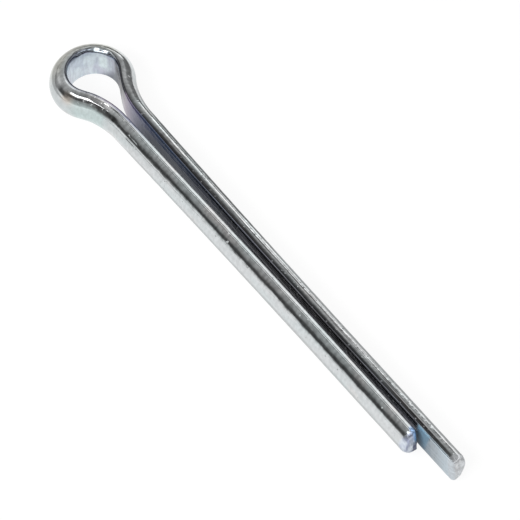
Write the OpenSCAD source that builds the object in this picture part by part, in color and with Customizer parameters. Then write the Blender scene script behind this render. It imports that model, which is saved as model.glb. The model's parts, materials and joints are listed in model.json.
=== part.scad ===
// Cotter pin (split pin): one length of half-round wire bent into an eye with two legs.
// The flats face each other and line the eye, so the closed legs make one round shank, split along its
// middle by a narrow gap.
// Frame: origin on the shank's axis where the long leg's shoulder ends, +X towards the tips,
// +Y towards the long leg, +Z up, square to the plane of the eye.

/* [Wire] */
// Diameter of the shank, over both legs
shank_d = 5.8; // [4.5:0.1:7]
// Radius on the two edges between the flat and the round side
edge_r = 0.5; // [0.3:0.02:0.9]

/* [Eye] */
// Diameter of the hole in the eye
eye_d = 7.4; // [6:0.1:12]
// How far the eye sits off the shank's axis, towards the long leg
eye_offset = -0.02; // [-0.3:0.02:0.3]
// Straight run between the eye and the long leg's shoulder
long_flank = 1.7; // [0.4:0.1:4]
// Straight run between the eye and the short leg's shoulder
short_flank = 0.5; // [0.4:0.1:4]
// Radius over the outside of the long leg's shoulder
long_shoulder_r = 12.4; // [5:0.2:16]
// Radius over the outside of the short leg's shoulder
short_shoulder_r = 11.2; // [5:0.2:16]

/* [Legs] */
// From the end of the long leg's shoulder to the end of the short leg
length = 68; // [60:0.5:120]
// How far the long leg reaches past the short one
extension = 7; // [3:0.1:12]
// Gap between the flats where the shoulders end
throat_gap = 1.42; // [1.2:0.02:1.6]
// Gap between the flats where the legs lie together
closed_gap = 0.48; // [0.2:0.02:0.6]
// Length over which the legs close quickly
first_run = 12; // [10:0.5:16]
// Length over which they close the rest of the gap
second_run = 18; // [14:0.5:24]
// Share of the gap that closes over the first run
first_share = 0.54; // [0.5:0.01:0.65]
// Radius over the outside of the two soft sets in each leg
set_r = 60; // [30:5:120]

/* [Ends] */
// Radius round the rim of each sheared end
rim_r = 1; // [0.2:0.05:1.4]
// Radius on the flat's side of each end, where the shear rolled the edge over
roll_r = 0.4; // [0.2:0.05:1.5]

/* [Hidden] */
wire_r = shank_d / 2;
// The round side is struck about the shank's axis, half the closed gap below the wire's own flat
half_gap = closed_gap / 2;
wire_t = wire_r - half_gap;
eye_r = eye_d / 2;
// A bend comes out this much fuller than the drawn wire, and the straight wire laps this far into it
fuller = 0.01;
lap = 0.06;
// Rounded edges stand this far proud of the face they run into, which leaves a clean line
proud = 0.02;
edge_steps = 5;
rim_steps = 6;
roll_steps = 8;
wire_fn = 72;
bend_fn = 96;

edge_z = sqrt(pow(wire_r - edge_r, 2) - pow(edge_r + half_gap, 2)) + proud;
edge_turn = 180 - atan2(edge_z, edge_r + half_gap);

// The legs close in two runs, with a set between them and one where they come parallel
closing = throat_gap / 2 - half_gap;
first_slope = atan2(closing * first_share, first_run);
second_slope = atan2(closing * (1 - first_share), second_run);
set_turn_r = set_r + wire_t;
first_set_l = set_turn_r * tan((first_slope - second_slope) / 2);
second_set_l = set_turn_r * tan(second_slope / 2);

// A flank's angle to the shank, from the two bends it joins; off is the eye's offset to its own side
function flank_angle(turn_r, flank, off) =
    acos((turn_r * cos(first_slope) + throat_gap / 2 - off) / norm([eye_r + turn_r, flank]))
    - atan2(flank, eye_r + turn_r);
// How far a shoulder ends from the eye's centre, along the shank
function shoulder_x(turn_r, flank, a) =
    (eye_r + turn_r) * sin(a) + flank * cos(a) - turn_r * sin(first_slope);

long_turn_r = long_shoulder_r + wire_t;
short_turn_r = short_shoulder_r + wire_t;
long_angle = flank_angle(long_turn_r, long_flank, eye_offset);
short_angle = flank_angle(short_turn_r, short_flank, -eye_offset);
eye_x = -shoulder_x(long_turn_r, long_flank, long_angle);
short_start_x = eye_x + shoulder_x(short_turn_r, short_flank, short_angle);

// Half-round section: flat on x = 0, round side towards +X, grown by g all round
module section(g = 0) {
    edge = [for (i = [0:edge_steps]) let (t = i * edge_turn / edge_steps)
        [edge_r - (edge_r + g) * cos(t), edge_z + (edge_r + g) * sin(t)]];
    beyond = [-half_gap, 0] + 2 * shank_d * [-cos(edge_turn), sin(edge_turn)];
    upper = concat(edge, [beyond, 2 * [shank_d, shank_d]]);
    lower = [for (i = [len(upper) - 1:-1:0]) [upper[i].x, -upper[i].y]];
    intersection() {
        translate([-half_gap, 0]) circle(r = wire_r + g, $fn = wire_fn);
        polygon(concat(upper, lower));
    }
}

// Below, the wire runs along +X from the origin, with its flat on y = 0 and its round side towards +Y

// A straight run, lapped into the bends at its ends, and what follows it
module run(l) {
    translate([-lap, 0, 0]) rotate([90, 0, 90]) linear_extrude(height = l + 2 * lap) section();
    translate([l, 0, 0]) children();
}

// A bend through angle a towards the round side, turn_r from its centre to the flat, and what follows it
module bend(turn_r, a) {
    translate([0, turn_r, 0]) {
        rotate_extrude(angle = a, start = 270, $fn = bend_fn)
            translate([turn_r, 0]) mirror([1, 0]) section(fuller);
        rotate(a) translate([0, -turn_r, 0]) children();
    }
}

// The last run of a leg, l long to its sheared end, which is rounded at the rim and rolled over at the flat
module tip(l) {
    rim_c = [wire_r + proud - rim_r, l - rim_r];
    rim = [for (i = [0:rim_steps]) rim_c + rim_r * [cos(i * 90 / rim_steps), sin(i * 90 / rim_steps)]];
    roll_c = [l + proud - roll_r, roll_r - proud];
    roll = [for (i = [0:roll_steps]) roll_c + roll_r * [sin(i * 90 / roll_steps), -cos(i * 90 / roll_steps)]];
    intersection() {
        translate([-lap, 0, 0]) rotate([90, 0, 90]) linear_extrude(height = l + 2 * lap) section();
        translate([0, -half_gap, 0]) rotate([0, 90, 0]) rotate_extrude($fn = wire_fn)
            polygon(concat([[0, -1], [wire_r + proud, -1]], rim, [[0, l]]));
        linear_extrude(height = 2 * shank_d, center = true)
            polygon(concat([[-1, -proud]], roll, [[l + proud, shank_d], [-1, shank_d]]));
    }
}

// One side from the eye to the tip, as the long leg lies; the short leg is its mirror image
module leg(turn_r, flank, a, off, start_x, end_x) {
    translate([eye_x, off, 0]) rotate(-a) translate([0, eye_r, 0])
    run(flank) bend(turn_r, a - first_slope)
    run(first_run / cos(first_slope) - first_set_l) bend(set_turn_r, first_slope - second_slope)
    run(second_run / cos(second_slope) - first_set_l - second_set_l) bend(set_turn_r, second_slope)
    tip(end_x - start_x - first_run - second_run - second_set_l);
}

module eye() {
    translate([eye_x, eye_offset, 0])
    rotate_extrude(angle = 180 + long_angle + short_angle, start = 90 - long_angle, $fn = bend_fn)
        translate([eye_r, 0]) section(fuller);
}

module cotter_pin() {
    color("silver") {
        eye();
        leg(long_turn_r, long_flank, long_angle, eye_offset, 0, length + extension);
        mirror([0, 1, 0])
            leg(short_turn_r, short_flank, short_angle, -eye_offset, short_start_x, length);
    }
}

cotter_pin();
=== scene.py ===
"""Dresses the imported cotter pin: bends one length of half-round wire over it, plates it and lights it.

A place on the wire is told on the straight bar, before it is bent, in millimetres: s runs along it from the
back of the eye, above 0 to the long tip and below 0 to the short one, a runs across it from the flat to the
crest, and u runs up from its middle. A window is (start, end, softness) on one of these, and None leaves that
end open.
"""

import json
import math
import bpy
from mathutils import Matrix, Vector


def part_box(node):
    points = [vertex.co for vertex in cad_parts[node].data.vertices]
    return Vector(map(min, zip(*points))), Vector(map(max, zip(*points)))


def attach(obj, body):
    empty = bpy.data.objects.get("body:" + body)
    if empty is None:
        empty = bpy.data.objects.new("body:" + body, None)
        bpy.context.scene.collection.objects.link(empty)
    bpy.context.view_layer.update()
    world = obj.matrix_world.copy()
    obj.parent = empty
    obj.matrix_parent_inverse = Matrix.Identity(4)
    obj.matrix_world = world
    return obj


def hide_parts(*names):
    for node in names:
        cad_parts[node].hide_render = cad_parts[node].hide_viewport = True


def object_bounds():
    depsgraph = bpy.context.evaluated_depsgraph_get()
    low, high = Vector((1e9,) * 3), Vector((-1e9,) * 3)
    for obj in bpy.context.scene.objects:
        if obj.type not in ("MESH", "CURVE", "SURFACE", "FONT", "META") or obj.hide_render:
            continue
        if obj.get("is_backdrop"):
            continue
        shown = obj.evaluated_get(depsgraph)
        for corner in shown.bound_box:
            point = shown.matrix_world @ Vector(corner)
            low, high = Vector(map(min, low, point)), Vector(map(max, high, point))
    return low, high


bl_info = {
    "name": "Cotter Pin",
    "version": (1, 0, 0),
    "blender": (4, 5, 0),
    "location": "View3D > Sidebar > Cotter Pin",
    "description": "Bends a zinc-plated cotter pin from half-round wire and sets it in a plain studio",
    "category": "Object",
}

from typing import NamedTuple

import bmesh
import bpy
from bpy.props import FloatProperty, FloatVectorProperty, PointerProperty
from mathutils import Matrix, Vector, noise

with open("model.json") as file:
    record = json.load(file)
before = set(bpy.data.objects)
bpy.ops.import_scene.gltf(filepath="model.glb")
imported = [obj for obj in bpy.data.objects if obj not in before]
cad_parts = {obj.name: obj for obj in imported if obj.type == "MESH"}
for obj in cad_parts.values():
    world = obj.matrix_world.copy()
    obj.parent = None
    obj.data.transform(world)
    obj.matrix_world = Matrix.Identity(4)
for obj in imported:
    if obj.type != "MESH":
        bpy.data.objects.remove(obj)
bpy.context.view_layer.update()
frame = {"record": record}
SOLID = "cotter_pin"
SHANK = frame["record"]["mounts"][0]["dims"]
MM = 0.001

# Where the legs end, in millimetres: the long one stops short of the solid's tip by its crown and slant, and
# reaches past the short one
LONG_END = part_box(SOLID)[1].x / MM - 0.1
OVERHANG = 7.0

# How finely the wire is drawn: steps round each edge and the round side, cuts across the flat, steps and cuts
# along the bar, and steps round the rim and over the face of each end
EDGE_STEPS, ROUND_STEPS, FLAT_CUTS = 8, 54, 23
BAR_STEPS, BAR_CUTS = 40, 17
RIM_STEPS, FACE_STEPS = 14, 12


# ---- Sizes and colours ----

def length_property(name, description, millimetres):
    return FloatProperty(name=name, description=description, default=millimetres * MM, unit="LENGTH",
                         precision=5)


def angle_property(name, description, degrees):
    return FloatProperty(name=name, description=description, default=math.radians(degrees), subtype="ANGLE")


def share_property(name, description, default):
    return FloatProperty(name=name, description=description, default=default)


def colour_property(name, description, default):
    return FloatVectorProperty(name=name, description=description, default=default, min=0, max=1,
                               subtype="COLOR")


class WireSizes(bpy.types.PropertyGroup):
    wire_r: length_property(
        "Wire radius", "Radius of the round side, struck about the shank's axis", SHANK["r_mm"])
    edge_r: length_property("Edge radius", "Radius on the two edges between flat and round side", 0.12)
    eye_x: length_property("Eye centre", "Place of the eye's centre along the shank", -9.891)
    eye_y: length_property("Eye offset", "How far the eye sits off the shank's axis", -0.072)
    eye_r_long: length_property(
        "Eye radius, long side", "Radius of the eye's hole on the long leg's side", 3.806)
    eye_r_short: length_property(
        "Eye radius, short side", "Radius of the eye's hole on the short leg's side", 3.686)
    flank_long: length_property("Long flank", "Straight run between the eye and the long shoulder", 1.884)
    flank_short: length_property("Short flank", "Straight run between the eye and the short shoulder", 1.456)
    shoulder_r_long: length_property(
        "Long shoulder", "Radius over the outside of the long leg's shoulder", 11.326)
    shoulder_r_short: length_property(
        "Short shoulder", "Radius over the outside of the short leg's shoulder", 10.995)
    throat_gap: length_property("Throat gap", "Gap between the flats where the shoulders end", 1.465)
    closed_gap: length_property("Closed gap", "Gap between the flats where the legs lie together", 0.58)
    closing_slope: angle_property("Closing slope", "Slope of each leg where its shoulder ends", 0.974)
    twist: angle_property("Twist", "How far the legs are twisted about the shank's axis", 3.0)
    sag: angle_property("Sag", "How far the eye leans down from the plane of the legs", 1.54)
    long_end: length_property("Long end", "Where the long leg ends", LONG_END)
    short_end: length_property("Short end", "Where the short leg ends", LONG_END - OVERHANG)
    rim_r: length_property("Rim radius", "Radius round the rim of each sheared end", 1.046)
    long_shear: share_property("Long shear", "Slant of the long leg's end, from flat to crest", -0.103)
    long_lean: share_property(
        "Long lean", "Slant of the long leg's end, from its upper edge to its lower one", 0.048)
    short_shear: share_property("Short shear", "Slant of the short leg's end, from flat to crest", 0.069)


class PlatingLook(bpy.types.PropertyGroup):
    zinc: colour_property("Zinc", "Colour of the bare zinc on the round side", (0.67, 0.69, 0.70))
    film: colour_property("Film", "Colour of the faint bands of film over the zinc", (0.61, 0.70, 0.71))
    smoothest: share_property("Smoothest", "Roughness of the brightest patches", 0.07)
    roughest: share_property("Roughest", "Roughness of the dullest patches", 0.13)
    line_depth: length_property("Line depth", "Depth of the lines that drawing leaves along the wire", 0.014)
    grain_depth: length_property("Grain depth", "Depth of the fine grain in the plating", 0.022)
    pit_depth: length_property("Pit depth", "Depth of the pits that the tumbling barrel leaves", 0.06)


class StudioLook(bpy.types.PropertyGroup):
    lamp_power: FloatProperty(name="Lamp power", description="Power of the soft lamp that throws the shadow",
                              default=2.6, unit="POWER")
    lamp_distance: length_property("Lamp distance", "How far the soft lamp hangs from the pin", 700)
    floor_glow: share_property("Floor glow", "How bright the floor looks by itself, where 1 is white", 0.90)


# ---- The wire ----

def near(value, start, end, soft):
    """1 between start and end, easing to 0 outside them; None leaves that end open."""
    rise = 1 if start is None else min(max((value - start) / soft + 0.5, 0), 1)
    fall = 1 if end is None else min(max((end - value) / soft + 0.5, 0), 1)
    return rise * fall


def bump_at(value, centre, reach):
    return math.exp(-((value - centre) / reach) ** 2)


class Swelling:
    """How the section swells at the back of the eye and thins on the flanks, at a distance from the back."""

    back_reach, flank_at, flank_reach = 6.29 * MM, 9.01 * MM, 2.57 * MM
    thicker_at_back, thinner_on_flank = 0.0754, 0.079
    wider_at_back, wider_on_flank = 0.0895, 0.0203
    most_spread = 0.0685

    def __init__(self, distance):
        back = bump_at(distance, 0, self.back_reach)
        flank = bump_at(distance, self.flank_at, self.flank_reach)
        self.thickness = 1 + self.thicker_at_back * back - self.thinner_on_flank * flank
        self.width = 1 + self.wider_at_back * back + self.wider_on_flank * flank
        self.spread = self.most_spread * min(back + flank, 1)


class Route:
    """The line that the wire's flat follows on one side, from the back of the eye to the tip."""

    def __init__(self, sizes, long_side):
        if long_side:
            eye_r, flank, shoulder_r, self.end = (
                sizes.eye_r_long, sizes.flank_long, sizes.shoulder_r_long, sizes.long_end)
        else:
            eye_r, flank, shoulder_r, self.end = (
                sizes.eye_r_short, sizes.flank_short, sizes.shoulder_r_short, sizes.short_end)
        self.side = 1 if long_side else -1
        off, slope = self.side * sizes.eye_y, sizes.closing_slope
        turn_r = shoulder_r + wire_thickness(sizes)
        angle = (math.acos((turn_r * math.cos(slope) + sizes.throat_gap / 2 - off)
                           / math.hypot(eye_r + turn_r, flank)) - math.atan2(flank, eye_r + turn_r))
        bow_r = (sizes.throat_gap - sizes.closed_gap) / 2 / (1 - math.cos(slope))
        # each part is where it starts, the heading there and the radius it turns on, or 0
        self.parts = []
        self.length, self.heading = 0.0, math.radians(90)
        self.x, self.y = sizes.eye_x - sizes.eye_r_short, off
        self.add((math.radians(90) + angle) * eye_r, -eye_r)
        self.add(flank, 0.0)
        self.add((angle - slope) * turn_r, turn_r)
        self.add(slope * bow_r, bow_r)
        self.add(self.end - self.x, 0.0)

    def add(self, length, turn_r):
        self.parts.append((self.length, self.x, self.y, self.heading, turn_r))
        self.length += length
        self.x, self.y, self.heading = self.follow(self.length)

    def follow(self, distance):
        """Gives the place of the flat and its heading at this distance."""
        start, x, y, heading, turn_r = next(p for p in reversed(self.parts) if p[0] <= distance)
        run = distance - start
        if not turn_r:
            return x + math.cos(heading) * run, y + math.sin(heading) * run, heading
        ahead = heading + run / turn_r
        return (x + turn_r * (math.sin(ahead) - math.sin(heading)),
                y - turn_r * (math.cos(ahead) - math.cos(heading)), ahead)


def wire_thickness(sizes):
    return sizes.wire_r - sizes.closed_gap / 2


def draw_section(bm, r, edge_r, half_gap):
    """Draws the half-round section across X, with its flat on Y = 0, and gives its closed ring of edges."""
    edge_z = math.sqrt((r - edge_r) ** 2 - (edge_r + half_gap) ** 2)
    reach = math.atan2(edge_z, edge_r + half_gap)
    last = bmesh.ops.create_vert(bm, co=(0, 0, -edge_z))["vert"]
    for centre, angle, steps in (
        ((0, edge_r, -edge_z), math.pi - reach, EDGE_STEPS),
        ((0, -half_gap, 0), 2 * reach, ROUND_STEPS),
        ((0, edge_r, edge_z), math.pi - reach, EDGE_STEPS),
    ):
        made = bmesh.ops.spin(bm, geom=last, cent=centre, axis=(1, 0, 0), angle=angle, steps=steps)
        last = [g for g in made["geom_last"] if isinstance(g, bmesh.types.BMVert)]
    bm.verts.ensure_lookup_table()
    flat = bmesh.ops.contextual_create(bm, geom=[bm.verts[0], last[0]])["edges"]
    bmesh.ops.subdivide_edges(bm, edges=flat, cuts=FLAT_CUTS)
    return bm.edges[:]


def draw_on(bm, ring, length, steps):
    """Draws the wire on from a ring in equal steps, and gives the new rings' vertices and the last edges."""
    before = len(bm.verts)
    made = bmesh.ops.spin(bm, geom=ring, angle=0.0, steps=steps, dvec=(length / steps, 0, 0))["geom_last"]
    verts = bm.verts[before:]
    size = len(verts) // steps
    return ([verts[i:i + size] for i in range(0, len(verts), size)],
            [g for g in made if isinstance(g, bmesh.types.BMEdge)])


def long_tip_wear(out, low, high):
    """Share of the wear on the long tip: most over its upper crest, and some at its lower edge."""
    crest_share = 0.7
    return low ** 3 * (1 - out) + crest_share * out ** 2 * (1 + high - low)


def short_tip_wear(out, low, high):
    """Share of the wear on the short tip: most at its lower edge, and some at its upper crest."""
    return low ** 2 + high ** 2 * out


def close_end(bm, ring, way, sizes, half_width, wear, shear, lean=0.0):
    """Ends the bar as a shear and a tumbling barrel leave it: rounded round the rim, with a low crown."""
    rim, thick = sizes.rim_r, wire_thickness(sizes)
    crown, most_worn, sliver = 0.06 * MM, 0.3 * MM, 0.001 * MM
    middle = 0.43 * thick
    face = 1 - rim / half_width
    rings, last = draw_on(bm, ring, way * sliver, RIM_STEPS + FACE_STEPS)
    for i, verts in enumerate(rings, 1):
        round_rim = min(i / RIM_STEPS, 1)
        # the face closes half a step short of its middle
        inward = max(i - RIM_STEPS, 0) / (FACE_STEPS + 0.5)
        angle = math.radians(90 * round_rim)
        ahead = rim * math.sin(angle) + crown * (1 - (1 - inward) ** 2)
        scale = 1 - rim * (1 - math.cos(angle)) / half_width - face * inward
        for v in verts:
            v.co.y, v.co.z = middle + (v.co.y - middle) * scale, v.co.z * scale
            out, low, high = v.co.y / thick, max(-v.co.z, 0) / half_width, max(v.co.z, 0) / half_width
            slant = shear * (v.co.y - thick / 2) - lean * v.co.z
            v.co.x += way * (ahead + (slant - most_worn * wear(out, low, high)) * round_rim)
    bmesh.ops.contextual_create(bm, geom=last)


def draw_bar(sizes, before_eye, after_eye):
    """Draws the straight bar that the pin is bent from, with its flat on Y = 0 and both ends finished."""
    bm = bmesh.new()
    ring = draw_section(bm, sizes.wire_r, sizes.edge_r, sizes.closed_gap / 2)
    half_width = max(v.co.z for v in bm.verts)
    bmesh.ops.translate(bm, verts=bm.verts, vec=(sizes.rim_r - before_eye, 0, 0))
    last = draw_on(bm, ring, before_eye + after_eye - 2 * sizes.rim_r, BAR_STEPS)[1]
    close_end(bm, ring, -1, sizes, half_width, short_tip_wear, sizes.short_shear)
    close_end(bm, last, 1, sizes, half_width, long_tip_wear, sizes.long_shear, sizes.long_lean)
    long_edges = [e for e in bm.edges if e.calc_length() > sizes.wire_r]
    bmesh.ops.subdivide_edges(bm, edges=long_edges, cuts=BAR_CUTS)
    return bm


def round_corner(across, up, r, half_width):
    """Gives a point's new place where the bend has drawn the edge beside the flat to a larger radius."""
    inward, sideways = r - across, r - (half_width - abs(up))
    if inward <= 0 or sideways <= 0 or math.hypot(inward, sideways) <= r:
        return across, up
    scale = r / math.hypot(inward, sideways)
    return r - inward * scale, math.copysign(half_width - r + sideways * scale, up)


def press_facet(along, across, up):
    """Flattens the upper edge beside the flat where the forming pin bore on it, at the back of the eye."""
    tilt, facet_across, facet_up = math.radians(36), 0.72 * MM, 2.84 * MM
    over = math.cos(tilt) * (up - facet_up) - math.sin(tilt) * (across - facet_across)
    if over <= 0:
        return across, up
    over *= near(along / MM, 2.0, 5.2, 1.4) + 0.9 * near(along / MM, -0.4, 1.1, 0.8)
    return across + over * math.sin(tilt), up - over * math.cos(tilt)


def keep_crisp(along, across, up, half_width):
    """Gives how crisp the short leg's upper edge stays, and how far its flat is ground back there."""
    ground, as_flat = 0.17 * MM, 0.6 * MM
    crisp = near(-along / MM, 12, None, 8) * (up > 0)
    return crisp, crisp * ground * (up / half_width) ** 2 * (across < as_flat)


def bend_bar(bm, long_route, short_route, thick):
    """Bends the straight bar round the eye and both shoulders, and keeps each point's straight place."""
    straight = bm.verts.layers.float_vector.new("straight")
    half_width = max(v.co.z for v in bm.verts)
    edge_r, more_in_eye = 0.28, 0.27
    for v in bm.verts:
        along, across, up = v[straight] = v.co
        route = long_route if along >= 0 else short_route
        distance = abs(along)
        swelling = Swelling(distance)
        x, y, heading = route.follow(distance)
        crisp, ground = keep_crisp(along, across, up, half_width)
        rounded = (edge_r + more_in_eye * bump_at(along / MM, 1.5, 5)) * MM
        across, up = round_corner(across + ground, up, rounded * (1 - crisp), half_width)
        across, up = press_facet(along, across, up)
        wide = swelling.width + swelling.spread * (0.5 - across / thick)
        across *= swelling.thickness
        v.co = (x - math.sin(heading) * across, route.side * (y + math.cos(heading) * across), up * wide)


# Each mark below gives how far the surface stands out at a place on the straight bar, in millimetres

def on_flat(a):
    return near(a, None, 0.35, 0.5)


def drawn_waves(s, a, u):
    """Low waves from drawing the wire, calmer where the flanks are bent."""
    short_waves = 0.015 * noise.noise(Vector((s / 1.3, a / 1.1, u / 1.1)))
    long_waves = 0.012 * noise.noise(Vector((s / 12, a / 1.2, u / 1.2)))
    calm = 1 - 0.65 * bump_at(abs(s), 8, 5)
    return calm * (short_waves + long_waves) * (1 - 0.3 * on_flat(a))


def eye_folds(s, a, u):
    """Folds that the bend presses into the flat inside the eye, deepest at its upper edge."""
    deep, least_share = 0.045, 0.35
    folds = noise.noise(Vector((s * 1.15, 0.2 * u, 3.1))) + 0.6 * noise.noise(Vector((s * 2.6, 0.3 * u, 7.7)))
    inside_bend = bump_at(s, 0, 5.2) * (1 - 0.6 * bump_at(s, 3.2, 1.6))
    share = least_share + (1 - least_share) * near(u, 1.0, None, 1.5)
    return deep * folds * inside_bend * on_flat(a) * share


def eye_nick(s, a, u):
    """A nick in the upper edge at the back of the eye."""
    deep = 0.10
    return -deep * bump_at(s, 0.5, 0.55) * bump_at(u, 2.45, 0.4) * near(a, None, 0.7, 0.5)


def die_mark(s, a, u):
    """Two short lines struck side by side on the outside of the short leg."""
    start, length, turn, radius = -20.7, 2.4, 0.81, 2.9
    deep, apart, wide = 0.06, 0.48, 0.12
    around = (math.atan2(a, u) - turn) * radius
    lines = bump_at(around, -apart / 2, wide) + bump_at(around, apart / 2, wide)
    return -deep * near(s, start, start + length, 0.35) * lines


def shoulder_ridge(s, a, u):
    """A narrow ridge that the tool leaves along the top of the short shoulder."""
    start, end, turn, radius = -15.6, -9.6, 0.51, 2.75
    high, half_wide = 0.036, 0.36
    around = abs(math.atan2(a, u) - turn) * radius
    return high * near(s, start, end, 0.9) * max(1 - around / half_wide, 0)


def shoulder_folds(s, a, u):
    """Shallow folds outside the short shoulder, below the ridge."""
    deep = 0.02
    folds = noise.noise(Vector((0.9 * s, 1.3 * a, 5.0)))
    return deep * folds * near(s, -16.5, -9.5, 2) * near(a, 1.5, 2.8, 0.8) * near(u, 0, None, 1)


def torn_metal(s, a, u):
    """The rough metal of a sheared end."""
    deep = 0.07
    return deep * noise.noise(Vector((1.3 * a, 1.3 * u, 0.9 * s)))


def work_surface(bm, long_length, short_length):
    """Presses the surface as drawing, bending and shearing leave it, by up to a tenth of a millimetre."""
    straight = bm.verts.layers.float_vector["straight"]
    sheared = bm.verts.layers.float.new("sheared")
    long_tip, short_tip = long_length / MM, -short_length / MM
    long_sheared, short_sheared, short_slant = 1.1, 0.45, 0.25
    marks = (drawn_waves, eye_folds, eye_nick, die_mark, shoulder_ridge, shoulder_folds)
    moves = []
    for v in bm.verts:
        s, a, u = Vector(v[straight]) / MM
        past_long = s - long_tip + long_sheared
        past_short = short_tip - s + short_sheared + short_slant * a
        v[sheared] = near(max(past_long, past_short), 0, None, 0.5)
        stands_out = sum(mark(s, a, u) for mark in marks) + v[sheared] * torn_metal(s, a, u)
        moves.append((v, v.normal * (stands_out * MM)))
    for v, move in moves:
        v.co += move


def set_by_hand(bm, sizes):
    """Leans the eye down and twists the legs, as the closed pin comes out of the tools."""
    hinge, hinge_soft = -1.19 * MM, 1.0 * MM
    twist_start, twist_length = -4 * MM, 16 * MM
    for v in bm.verts:
        behind = hinge - v.co.x
        v.co.z -= math.tan(sizes.sag) * (math.hypot(behind, hinge_soft) + behind) / 2
        t = min(max((v.co.x - twist_start) / twist_length, 0), 1)
        turn = sizes.twist * t * t * (3 - 2 * t)
        y, z = v.co.y, v.co.z
        v.co.y = y * math.cos(turn) - z * math.sin(turn)
        v.co.z = y * math.sin(turn) + z * math.cos(turn)


def build_wire(sizes):
    long_route, short_route = Route(sizes, True), Route(sizes, False)
    bm = draw_bar(sizes, short_route.length, long_route.length)
    bend_bar(bm, long_route, short_route, wire_thickness(sizes))
    set_by_hand(bm, sizes)
    bmesh.ops.recalc_face_normals(bm, faces=bm.faces)
    bm.normal_update()
    work_surface(bm, long_route.length, short_route.length)
    for f in bm.faces:
        f.smooth = True
    mesh = bpy.data.meshes.new("pin_wire")
    bm.to_mesh(mesh)
    bm.free()
    piece = bpy.data.objects.new("pin_wire", mesh)
    bpy.context.collection.objects.link(piece)
    return piece


class COTTER_OT_wire(bpy.types.Operator):
    """Bends the pin from one length of half-round wire and plates it"""

    bl_idname = "cotter.wire"
    bl_label = "Bend the Wire"

    def execute(self, context):
        piece = build_wire(context.scene.cotter_wire)
        piece.data.materials.append(plating(context.scene.cotter_plating))
        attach(piece, "root")
        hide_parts(SOLID)
        return {"FINISHED"}


# ---- Shader nodes ----

class Shader:
    """Adds shader nodes one call each and joins them up."""

    def __init__(self, owner):
        owner.use_nodes = True
        self.tree = owner.node_tree
        self.tree.nodes.clear()

    def join(self, socket, value):
        """Links a socket to another, or sets it to a number or a colour."""
        if isinstance(value, bpy.types.NodeSocket):
            self.tree.links.new(value, socket)
        else:
            socket.default_value = (*value, 1) if socket.type == "RGBA" else value

    def add(self, kind, *inputs, **settings):
        node = self.tree.nodes.new("ShaderNode" + kind)
        named = {key: settings.pop(key) for key in list(settings) if not hasattr(node, key)}
        for key, value in settings.items():
            setattr(node, key, value)
        for socket, value in zip(node.inputs, inputs):
            self.join(socket, value)
        for key, value in named.items():
            self.join(node.inputs[key.replace("_", " ")], value)
        return node

    def in_millimetres(self, place):
        return self.add("VectorMath", place, (1 / MM,) * 3, operation="MULTIPLY").outputs[0]

    def maths(self, operation, *inputs):
        return self.add("Math", *inputs, operation=operation).outputs[0]

    def times(self, first, *others):
        for other in others:
            first = self.maths("MULTIPLY", first, other)
        return first

    def most(self, first, *others):
        for other in others:
            first = self.maths("MAXIMUM", first, other)
        return first

    def plus(self, base, value, factor):
        """The base and this share of the value."""
        return self.maths("MULTIPLY_ADD", value, factor, base)

    def ease(self, value, start, end, low=0.0, high=1.0):
        """A smooth step from low to high as the value goes from start to end."""
        return self.add("MapRange", value, start, end, low, high, interpolation_type="SMOOTHSTEP").outputs[0]

    def window(self, value, start, end, soft):
        """1 between start and end, easing smoothly to 0 outside them; None leaves that end open."""
        sides = []
        if start is not None:
            sides.append(self.ease(value, start - soft / 2, start + soft / 2))
        if end is not None:
            sides.append(self.ease(value, end - soft / 2, end + soft / 2, 1.0, 0.0))
        return self.times(*sides)

    def mix(self, factor, first, second, blend="MIX"):
        node = self.add("Mix", data_type="RGBA", blend_type=blend)
        for socket, value in ((node.inputs[0], factor), (node.inputs[6], first), (node.inputs[7], second)):
            self.join(socket, value)
        return node.outputs[2]

    def ramp(self, value, stops):
        """A colour ramp whose stops are (position, level) or (position, colour)."""
        node = self.add("ValToRGB", value)
        band = node.color_ramp
        while len(band.elements) < len(stops):
            band.elements.new(0.5)
        for element, (position, _) in zip(band.elements, stops):
            element.position = position
        for element, (_, level) in zip(band.elements, stops):
            element.color = (*level, 1) if isinstance(level, tuple) else (level, level, level, 1)
        return node.outputs[0]


class Patch(NamedTuple):
    """A stretch of the wire that looks different: its tint, how strongly it shows, and its windows."""

    tint: tuple
    strength: float
    along: tuple = None
    across: tuple = None
    up: tuple = None


class WireShader(Shader):
    """A shader for the wire, which knows each point's place on the straight bar."""

    def __init__(self, owner):
        super().__init__(owner)
        self.place = self.in_millimetres(self.add("Attribute", attribute_name="straight").outputs["Vector"])
        self.s, self.a, self.u = self.add("SeparateXYZ", self.place).outputs
        self.sheared = self.add("Attribute", attribute_name="sheared").outputs["Fac"]

    def within(self, along=None, across=None, up=None):
        """1 inside these windows, easing to 0 outside them."""
        windows = ((self.s, along), (self.a, across), (self.u, up))
        return self.times(*(self.window(value, *window) for value, window in windows if window))

    def reach(self, patch, *more):
        """How strongly a patch shows at each point."""
        return self.times(self.within(patch.along, patch.across, patch.up), patch.strength, *more)

    def lay(self, colour, patch, *more):
        return self.mix(self.reach(patch, *more), colour, patch.tint)

    def noise(self, along, across, up, detail=2.0):
        """Noise in grains of 1 / along, 1 / across and 1 / up millimetres on the straight bar."""
        scaled = self.add("VectorMath", self.place, (along, across, up), operation="MULTIPLY").outputs[0]
        return self.add("TexNoise", scaled, Scale=1.0, Detail=detail).outputs[0]


# ---- The plating ----

STRAW = Patch((0.70, 0.67, 0.56), 0.5, along=(-3.5, 5.0, 3.0), across=(0.8, 2.6, 1.0))
ORANGE = Patch((0.70, 0.55, 0.42), 0.5, along=(-7.2, -6.0, 0.9), across=(1.3, 2.3, 0.6))
GREEN = Patch((0.54, 0.70, 0.68), 0.45, along=(-13.0, -7.2, 1.4), across=(1.7, 3.2, 0.6))

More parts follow.
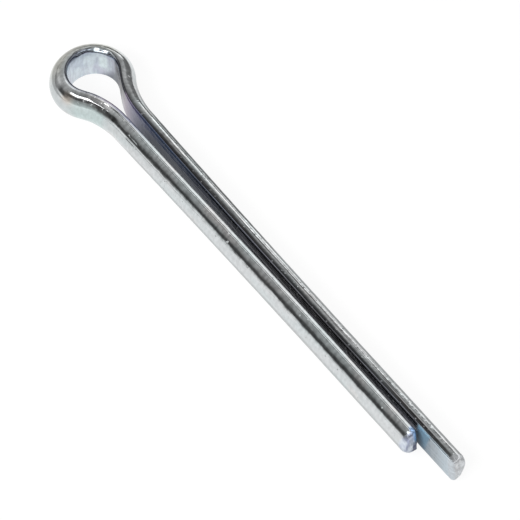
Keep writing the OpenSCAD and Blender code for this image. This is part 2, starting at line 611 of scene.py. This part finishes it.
# The flat's tints by the distance from the back of the eye: blue, lilac, painted shade down the slit, then a
# bright tip
FLAT_REACH = 100
FLAT_TINTS_AND_SLIT_SHADE = (
    (0, (0.57, 0.64, 0.72)), (10, (0.58, 0.60, 0.70)), (12.2, (0.62, 0.46, 0.62)), (14.8, (0.42, 0.38, 0.58)),
    (18, (0.12, 0.15, 0.31)), (22, (0.03, 0.08, 0.20)), (27, (0.03, 0.07, 0.15)), (37, (0.05, 0.07, 0.105)),
    (50, (0.09, 0.09, 0.105)), (65, (0.16, 0.16, 0.17)), (83, (0.26, 0.28, 0.33)), (84, (0.55, 0.72, 0.85)),
    (85.8, (0.50, 0.66, 0.78)), (86.3, (0.70, 0.82, 0.90)),
)
LILAC = Patch((0.68, 0.66, 0.76), 0.5, along=(None, 10.5, 3.0), up=(None, -0.65, 1.9))
# Painted sheen: streaks of pale cyan over the flat in the eye, and a spot where it mirrors the bright floor
PAINTED_SHEEN = Patch((0.82, 0.93, 0.95), 1.0, along=(-4.0, 6.5, 2.0))
SHEEN_SPOT = dict(along=(3.2, 4.6, 0.8), up=(-0.9, 1.7, 1.0))
# Painted shade: near black over the upper flat on the long side, where the eye runs into the flank
THROAT_SHADE = Patch((0.02, 0.02, 0.03), 1.0, along=(6.2, 12.5, 1.0), up=(0.3, None, 1.4))
# Painted shade: blue-grey over the upper flat at the back of the eye
UPPER_FLAT_SHADE = Patch((0.30, 0.36, 0.44), 0.55, along=(-3.0, 2.6, 1.5), up=(1.55, None, 1.3))

# Painted shade: dark on the long leg's edges beside the flat, down the slit
SLIT_EDGE_SHADE = (0.10, 0.10, 0.12)
SLIT_EDGE_SHADES = (
    Patch(SLIT_EDGE_SHADE, 0.5, along=(5.5, 36.0, 6.0), across=(None, 0.285, 0.33)),
    Patch(SLIT_EDGE_SHADE, 0.5, along=(36.0, 88.5, 6.0), across=(None, 0.135, 0.17)),
    Patch(SLIT_EDGE_SHADE, 0.6, along=(16.0, 88.5, 8.0), across=(0.02, 0.6, 0.2), up=(1.9, None, 0.6)),
)
LONG_LEG = (20.0, 90.0, 14.0)
DARK_LINES = Patch((0.13, 0.12, 0.12), 1.0, along=LONG_LEG, across=(0.15, 1.7, 0.5))
# Painted shade: a dark line along the flat's upper edge, from the short shoulder to the back of the eye
INNER_EDGE_SHADE = Patch(
    (0.20, 0.21, 0.26), 0.6, along=(-17.0, 1.8, 2.0), across=(-0.1, 0.42, 0.15), up=(2.35, None, 0.3))
# Painted shade: dark in the folds outside the short shoulder, which also dims the highlight there
SHOULDER_FOLD_SHADE = Patch((0.12, 0.11, 0.11), 1.0, along=(-15.5, -9.8, 1.6), across=(1.3, 1.95, 0.4))
# Painted highlight: near white along the line where the short shoulder catches the soft box
SHOULDER_HIGHLIGHT = Patch((0.97, 0.97, 0.98), 0.9, along=(-13.4, -9.0, 1.4), across=(0.4, 1.25, 0.4))

SHEARED_TINT, SHEARED_SHARE = (0.74, 0.76, 0.79), 0.6
STREAK_TINTS = (0.42, 0.46, 0.60), (0.74, 0.80, 0.88)
SHORT_END = dict(along=(None, -80.5, 1.0))
BLUED = Patch(
    (0.40, 0.62, 0.98), 0.9, along=(None, -83.0, 0.8), across=(None, 0.75, 0.5), up=(0.7, None, 1.0))
# Painted shade: dark navy on the short tip's lower rim and on the rim beside its flat
RIM_SHADE = (0.03, 0.05, 0.16)
SHORT_RIM = dict(along=(None, -82.45, 0.4))
LOW_RIM = dict(across=(None, 1.4, 0.6), up=(None, 0.0, 1.0))
FLAT_RIM = dict(across=(-0.1, 1.05, 0.3), up=(None, 0.1, 1.0))

# Painted reflection: teal on the long flat where it would mirror the short tip's end
TEAL_REFLECTION_TINTS = (0.10, 0.20, 0.30), (0.24, 0.40, 0.52)
# Blue film and painted shade: dark blue over the long flat down in the slit
BLUE_FILM_AND_SLIT_SHADE = Patch((0.045, 0.075, 0.135), 0.5, along=(15.0, 30.0, 9.0), across=(None, 0.125, 0.15))


def round_side(sh, look):
    """Colours the round side: faint bands of film and warmth, stronger about the eye."""
    banded = sh.ease(sh.noise(0.12, 0.35, 0.35), 0.35, 0.7, 0.0, 0.5)
    warm = sh.ease(sh.noise(0.2, 0.5, 0.5, detail=1.0), 0.55, 0.75, 0.0, 0.3)
    colour = sh.mix(banded, tuple(look.zinc), tuple(look.film))
    colour = sh.mix(warm, colour, (0.74, 0.68, 0.66))
    for patch in (STRAW, ORANGE, GREEN):
        colour = sh.lay(colour, patch)
    return colour


def flat_side(sh):
    """Colours the flat: blue with painted sheen in the eye, lilac at its lower edge, and painted shade down
    the slit.
    """
    distance = sh.maths("DIVIDE", sh.maths("ABSOLUTE", sh.s), FLAT_REACH)
    colour = sh.ramp(distance, [(place / FLAT_REACH, tint) for place, tint in FLAT_TINTS_AND_SLIT_SHADE])
    colour = sh.lay(colour, LILAC, sh.ease(sh.noise(0.5, 0.5, 0.5), 0.35, 0.6))
    streaked = sh.ease(sh.noise(0.8, 0.25, 0.25), 0.42, 0.58, 0.0, 0.5)
    colour = sh.lay(colour, PAINTED_SHEEN, sh.most(sh.within(**SHEEN_SPOT), streaked))
    for patch in (THROAT_SHADE, UPPER_FLAT_SHADE):
        colour = sh.lay(colour, patch)
    return colour


def join_sides(sh, rounded, flat):
    """Lays the flat's colour on the flat and the edges beside it, but not on the short leg's upper edge."""
    flat_share = sh.window(sh.a, None, 0.275, 0.45)
    upper_edge = sh.within(along=(None, -19.5, 9.0), up=(2.475, None, 0.35))
    return sh.mix(sh.times(flat_share, sh.maths("SUBTRACT", 1.0, upper_edge)), rounded, flat)


def shades_lines_and_highlight(sh, colour):
    """Adds the long leg's dark lines, painted shade on its edges and by the short shoulder, and a painted
    highlight.
    """
    colour = sh.mix(sh.most(*(sh.reach(patch) for patch in SLIT_EDGE_SHADES)), colour, SLIT_EDGE_SHADE)
    lines = sh.ease(sh.noise(0.045, 2.6, 2.6), 0.44, 0.58)
    colour = sh.lay(colour, DARK_LINES, lines, sh.ease(sh.s, 20.0, 70.0, 0.5, 0.95))
    colour = sh.lay(colour, INNER_EDGE_SHADE)
    colour = sh.lay(colour, SHOULDER_FOLD_SHADE, sh.ease(sh.noise(0.9, 2.0, 2.0), 0.35, 0.6, 0.25, 0.8))
    return sh.lay(colour, SHOULDER_HIGHLIGHT)


def sheared_ends(sh, colour):
    """Colours both sheared ends, and gives the colour and where painted shade darkens and dulls the short
    one's rim.
    """
    streaks = sh.ease(sh.noise(0.6, 2.4, 0.5, detail=1.0), 0.35, 0.65)
    from_axis = sh.maths("SQRT", sh.plus(sh.times(sh.u, sh.u), sh.a, sh.a))
    low_rim = sh.times(sh.window(from_axis, 2.325, None, 0.25), sh.within(**LOW_RIM))
    shaded_rim = sh.times(sh.within(**SHORT_RIM), sh.most(low_rim, sh.within(**FLAT_RIM)))
    colour = sh.mix(sh.times(sh.sheared, SHEARED_SHARE), colour, SHEARED_TINT)
    colour = sh.mix(sh.times(sh.sheared, sh.within(**SHORT_END)), colour, sh.mix(streaks, *STREAK_TINTS))
    colour = sh.lay(colour, BLUED)
    return sh.mix(shaded_rim, colour, RIM_SHADE), shaded_rim


def teal_reflection_and_slit_blue(sh, colour):
    """Adds a painted teal reflection on the long flat by the short tip, and blue film and painted shade in
    the slit.
    """
    slanted = sh.plus(sh.s, sh.u, -0.26)
    teal = sh.times(sh.window(slanted, 82.65, 85.35, 0.7), sh.window(sh.a, None, 0.125, 0.15))
    colour = sh.mix(teal, colour, sh.mix(sh.ease(sh.u, -2.4, 0.5), *TEAL_REFLECTION_TINTS))
    blue = sh.reach(BLUE_FILM_AND_SLIT_SHADE)
    return sh.mix(blue, colour, BLUE_FILM_AND_SLIT_SHADE.tint), teal, blue


def speckled(sh, colour):
    """Mottles the colour, most between flat and crest, and adds bright lines to the long leg."""
    mottle = sh.ease(sh.noise(1.9, 1.2, 1.2), 0.25, 0.75, -1.0, 1.0)
    level = sh.plus(1.0, mottle, sh.plus(0.07, sh.window(sh.a, 0.4, 1.9, 0.5), 0.13))
    lines = sh.ease(sh.noise(0.06, 3.1, 3.1), 0.52, 0.64)
    level = sh.plus(level, sh.times(lines, sh.within(along=LONG_LEG, across=(0.1, 1.7, 0.5))), 0.8)
    return sh.mix(1.0, colour, level, blend="MULTIPLY")


def relief(sh, look):
    """Draws lines along the wire and a finer grain across them, and the pits that the barrel has left."""
    line_deep, grain_deep, pit_deep = look.line_depth / MM, look.grain_depth / MM, look.pit_depth / MM
    pits_per_mm, pit_floor, pit_rim = 1.4, 0.03, 0.24
    deeper = sh.times(sh.ease(sh.s, 12.0, 40.0), sh.ease(sh.a, 1.9, 1.4, 0.0, 2.5 * line_deep))
    lines = sh.times(sh.noise(0.03, 2.2, 2.2, detail=1.0), sh.maths("ADD", deeper, line_deep))
    grain = sh.times(sh.noise(1.3, 0.8, 0.8, detail=1.0), grain_deep)
    cells = sh.add("TexVoronoi", sh.place, Scale=pits_per_mm, feature="F1")
    pit = sh.ease(cells.outputs["Distance"], pit_floor, pit_rim, -pit_deep, 0.0)
    pitted = sh.maths("GREATER_THAN", sh.add("SeparateColor", cells.outputs["Color"]).outputs[0],
                      sh.ease(sh.s, 15.0, 30.0, 0.85, 0.30))
    height = sh.plus(sh.maths("ADD", lines, grain), pit, pitted)
    return sh.add("Bump", Strength=1.0, Distance=MM, Height=height).outputs[0]


def plating(look):
    """Bright zinc over steel wire, with its films, painted shade and highlights, and sheared ends."""
    rougher_sheared, rougher_teal = 0.2, 0.3
    teal_cover, dark_cover = 0.85, 0.8
    material = bpy.data.materials.new("bright zinc")
    sh = WireShader(material)
    colour = shades_lines_and_highlight(sh, join_sides(sh, round_side(sh, look), flat_side(sh)))
    colour, shaded_rim = sheared_ends(sh, colour)
    colour, teal, blue = teal_reflection_and_slit_blue(sh, colour)
    colour = speckled(sh, colour)
    roughness = sh.ease(sh.noise(0.4, 1.2, 1.2), 0.3, 0.7, look.smoothest, look.roughest)
    roughness = sh.plus(sh.plus(roughness, sh.sheared, rougher_sheared), teal, rougher_teal)
    # Less metallic where the teal reflection, the slit's blue and the short rim's shade are painted, so their
    # tints show
    bare = sh.plus(1.0, teal, -teal_cover)
    metallic = sh.maths("SUBTRACT", bare, sh.most(blue, sh.times(shaded_rim, dark_cover)))
    shader = sh.add("BsdfPrincipled", Base_Color=colour, Metallic=metallic, Roughness=roughness,
                    Normal=relief(sh, look))
    sh.add("OutputMaterial", shader.outputs[0])
    return material


# ---- The stage ----

class FloorShade(NamedTuple):
    """A shade on the floor: its windows across and along the pin, in millimetres, and how strong it is in the
    metal and in the floor's matt light."""

    across: tuple
    along: tuple
    in_metal: float = 0.0
    matt: float = 0.0


FLOOR_SHADES = {
    "beside the legs": FloorShade((6.5, 17, 6), (-5.5, None, 7), in_metal=1.0),
    "beside the eye": FloorShade((23, None, 10), (None, 8, 12), in_metal=1.0, matt=1.0),
    "behind the eye": FloorShade(None, (None, -23.5, 7), in_metal=0.75),
    "under the legs": FloorShade((-4.8, 4.8, 1.4), (1, None, 6), in_metal=0.42),
    "between the legs": FloorShade((-2.6, 2.6, 1.4), (-1, 62, 6), in_metal=0.6, matt=0.7),
    "before the eye": FloorShade((None, -6, 4), (None, 1, 10), in_metal=0.14),
    "below the flank": FloorShade((2.5, 6.8, 1.4), (-12.2, 1, 2), in_metal=0.65, matt=0.65),
    "beside the shoulder": FloorShade((6, 22, 5), (-9, 24, 8), matt=1.0),
}
# Painted light: the floor glows brighter in the metal far out on the long leg's side, past the eye
BRIGHT_FAR_SIDE = FloorShade((21.5, None, 13), (11, None, 10))

# The room that the metal mirrors: its levels by the angle over the pin, in degrees, from the long leg's side
# at 0, past straight up at 90, to the short leg's side at 180
ROOM_BY_TIPS = (
    (-90, 0.5), (0, 0.2), (14, 0.22), (21, 0.56), (37, 0.48), (50, 0.22), (67, 0.25), (80, 0.45), (97, 0.40),
    (112, 0.40), (119, 0.2), (126, 0.2), (138, 0.2), (142, 0.09), (147, 0.09), (153, 0.36), (163, 0.45),
    (172, 0.56), (178, 0.9), (270, 0.9),
)
ROOM_BY_EYE = (
    (-90, 0.9), (-4, 1.35), (4, 1.3), (10, 0.74), (16, 0.43), (24, 0.33), (31, 0.25), (40, 0.15), (50, 0.11),
    (60, 0.09), (78, 0.09), (84, 0.45), (89, 1.1), (108, 1.1), (112, 0.65), (118, 0.40), (130, 0.37),
    (142, 0.27), (150, 0.09), (160, 0.05), (165, 0.09), (169, 0.27), (173, 0.75), (177, 0.98), (270, 0.9),
)
ROOM_BEHIND_EYE = (
    (-90, 0.6), (0, 0.58), (60, 0.55), (90, 0.46), (120, 0.45), (135, 0.55), (142, 0.62), (157, 0.38),
    (172, 0.30), (270, 0.4),
)


class SoftBox(NamedTuple):
    """A soft box or a dark screen: its window along the pin, where 1 is straight past the tips, its window by
    the angle over the pin, in degrees, and its level."""

    along: tuple
    over: tuple
    level: float


SOFT_BOXES = (
    SoftBox((-0.27, 0.36, 0.06), (128.5, 134, 2.88), 3.6),
    SoftBox((0.24, 0.62, 0.12), (102, 130, 7.2), 1.9),
    SoftBox((0.58, 0.78, 0.06), (58, 88, 7.2), 1.9),
    SoftBox((-0.42, 0.2, 0.05), (-30, 13, 7.2), 0.2),
)

VIEW_AZIMUTH, VIEW_ELEVATION, VIEW_ROLL = math.radians(54.181), math.radians(56), math.radians(-1.327)
VIEW_ANGLE = math.radians(6.1032)
VIEW_DISTANCE = 696.21 * MM
VIEW_TARGET = Vector((30.142, 0.444, 0)) * MM
LAMP_DIRECTION = Vector((0.1, -0.66, 0.75)).normalized()
LAMP_TARGET = Vector((30, 0, 0)) * MM
LAMP_LENGTH, LAMP_WIDTH = 0.5, 0.25


def floor_shade(sh, x, y, shade):
    """How much of a shade falls on each point of the floor."""
    along = sh.window(x, *shade.along)
    return sh.times(along, sh.window(y, *shade.across)) if shade.across else along


def pale_floor(look):
    """A plain pale floor, with soft shades in what the metal mirrors of it and in the matt light from it."""
    metal_level, metal_shade, far_side_level = 0.69, 0.58, 0.45
    matt_level, matt_shade, seen_level = 0.33, 0.25, 0.14
    material = bpy.data.materials.new("pale floor")
    sh = Shader(material)
    rays = sh.add("LightPath").outputs
    seen = rays["Is Camera Ray"]
    mirrored = sh.most(rays["Is Glossy Ray"], rays["Is Transmission Ray"])
    x, y, _ = sh.add("SeparateXYZ", sh.in_millimetres(sh.add("TexCoord").outputs["Object"])).outputs
    shades = [(shade, floor_shade(sh, x, y, shade)) for shade in FLOOR_SHADES.values()]
    in_metal = sh.most(*(sh.times(mask, shade.in_metal) for shade, mask in shades if shade.in_metal))
    matt = sh.most(*(sh.times(mask, shade.matt) for shade, mask in shades if shade.matt))
    far_side = floor_shade(sh, x, y, BRIGHT_FAR_SIDE)
    metal_glow = sh.plus(sh.plus(metal_level, far_side, far_side_level), in_metal, -metal_shade)
    glow = sh.plus(sh.times(seen, look.floor_glow), mirrored, metal_glow)
    level = sh.ease(seen, 0, 1, sh.plus(matt_level, matt, -matt_shade), seen_level)
    matt_floor = sh.add("BsdfDiffuse", level).outputs[0]
    light = sh.add("Emission", (1, 1, 1), glow).outputs[0]
    sh.add("OutputMaterial", sh.add("AddShader", matt_floor, light).outputs[0])
    return material


def studio():
    """Long soft boxes run beside the pin; the room between them is darker."""
    quarter_turn, full_turn = 90, 360
    world = bpy.data.worlds.new("studio")
    sh = Shader(world)
    x, y, z = sh.add("SeparateXYZ", sh.add("TexCoord").outputs["Generated"]).outputs
    turns = sh.maths("DIVIDE", sh.maths("ARCTAN2", z, y), math.tau)
    turns = sh.maths("FRACT", sh.maths("ADD", turns, quarter_turn / full_turn))
    degrees = sh.plus(-quarter_turn, turns, full_turn)
    by_tips, by_eye, behind_eye = (
        sh.ramp(turns, [((quarter_turn + angle) / full_turn, level) for angle, level in stops])
        for stops in (ROOM_BY_TIPS, ROOM_BY_EYE, ROOM_BEHIND_EYE))
    room = sh.mix(sh.ease(x, -0.42, -0.12), by_eye, by_tips)
    room = sh.mix(sh.ease(x, -0.58, -0.80), room, behind_eye)
    for box in SOFT_BOXES:
        lit = sh.times(sh.window(x, *box.along), sh.window(degrees, *box.over))
        room = sh.mix(lit, room, (box.level,) * 3)
    sh.add("OutputWorld", sh.add("Background", room, 1.0).outputs[0])
    return world


def hang_lamp(scene, look):
    """Hangs a wide soft lamp over the short leg's side, which throws the pin's soft shadow."""
    data = bpy.data.lights.new("soft lamp", "AREA")
    data.shape, data.size, data.size_y = "RECTANGLE", LAMP_LENGTH, LAMP_WIDTH
    data.energy = look.lamp_power
    lamp = bpy.data.objects.new("soft lamp", data)
    lamp.location = LAMP_TARGET + LAMP_DIRECTION * look.lamp_distance
    lamp.rotation_euler = LAMP_DIRECTION.to_track_quat("Z", "Y").to_euler()
    lamp.visible_glossy = False
    scene.collection.objects.link(lamp)


def set_camera(scene):
    level = math.cos(VIEW_ELEVATION)
    back = Vector((math.sin(VIEW_AZIMUTH) * level, -math.cos(VIEW_AZIMUTH) * level, math.sin(VIEW_ELEVATION)))
    right = Vector((math.cos(VIEW_AZIMUTH), math.sin(VIEW_AZIMUTH), 0))
    up = back.cross(right)
    right, up = (right * math.cos(VIEW_ROLL) + up * math.sin(VIEW_ROLL),
                 up * math.cos(VIEW_ROLL) - right * math.sin(VIEW_ROLL))
    data = bpy.data.cameras.new("camera")
    data.lens_unit = "FOV"
    data.angle = VIEW_ANGLE
    data.clip_start, data.clip_end = 0.05, 20
    camera = bpy.data.objects.new("camera", data)
    turned = Matrix((right, up, back)).transposed().to_4x4()
    camera.matrix_world = Matrix.Translation(VIEW_TARGET + back * VIEW_DISTANCE) @ turned
    scene.collection.objects.link(camera)
    scene.camera = camera


def lay_floor(scene, look):
    """Lays a square floor right under the pin."""
    half_side = 1.5
    bm = bmesh.new()
    bmesh.ops.create_grid(bm, x_segments=1, y_segments=1, size=half_side)
    bmesh.ops.translate(bm, verts=bm.verts, vec=(0, 0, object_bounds()[0].z))
    mesh = bpy.data.meshes.new("floor")
    bm.to_mesh(mesh)
    bm.free()
    floor = bpy.data.objects.new("floor", mesh)
    scene.collection.objects.link(floor)
    mesh.materials.append(pale_floor(look))
    floor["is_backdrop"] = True


class COTTER_OT_stage(bpy.types.Operator):
    """Lays the floor, hangs the lights and sets up the camera"""

    bl_idname = "cotter.stage"
    bl_label = "Set the Stage"

    def execute(self, context):
        scene = context.scene
        lay_floor(scene, scene.cotter_studio)
        scene.world = studio()
        hang_lamp(scene, scene.cotter_studio)
        set_camera(scene)
        scene.view_settings.view_transform = "Standard"
        return {"FINISHED"}


# ---- The add-on ----

class COTTER_PT_panel(bpy.types.Panel):
    """Lists the pin's sizes and colours and the steps that make it"""

    bl_idname = "COTTER_PT_panel"
    bl_label = "Cotter Pin"
    bl_space_type = "VIEW_3D"
    bl_region_type = "UI"
    bl_category = "Cotter Pin"

    def draw(self, context):
        scene = context.scene
        for settings in (scene.cotter_wire, scene.cotter_plating, scene.cotter_studio):
            box = self.layout.box()
            for name in type(settings).__annotations__:
                box.prop(settings, name)
        self.layout.operator(COTTER_OT_wire.bl_idname)
        self.layout.operator(COTTER_OT_stage.bl_idname)


SETTINGS = {"cotter_wire": WireSizes, "cotter_plating": PlatingLook, "cotter_studio": StudioLook}
CLASSES = (*SETTINGS.values(), COTTER_OT_wire, COTTER_OT_stage, COTTER_PT_panel)


def register():
    for cls in CLASSES:
        bpy.utils.register_class(cls)
    for name, group in SETTINGS.items():
        setattr(bpy.types.Scene, name, PointerProperty(type=group))


def unregister():
    for name in SETTINGS:
        delattr(bpy.types.Scene, name)
    for cls in reversed(CLASSES):
        bpy.utils.unregister_class(cls)


def main():
    register()
    bpy.ops.cotter.wire()
    bpy.ops.cotter.stage()


if __name__ == "__main__":
    main()
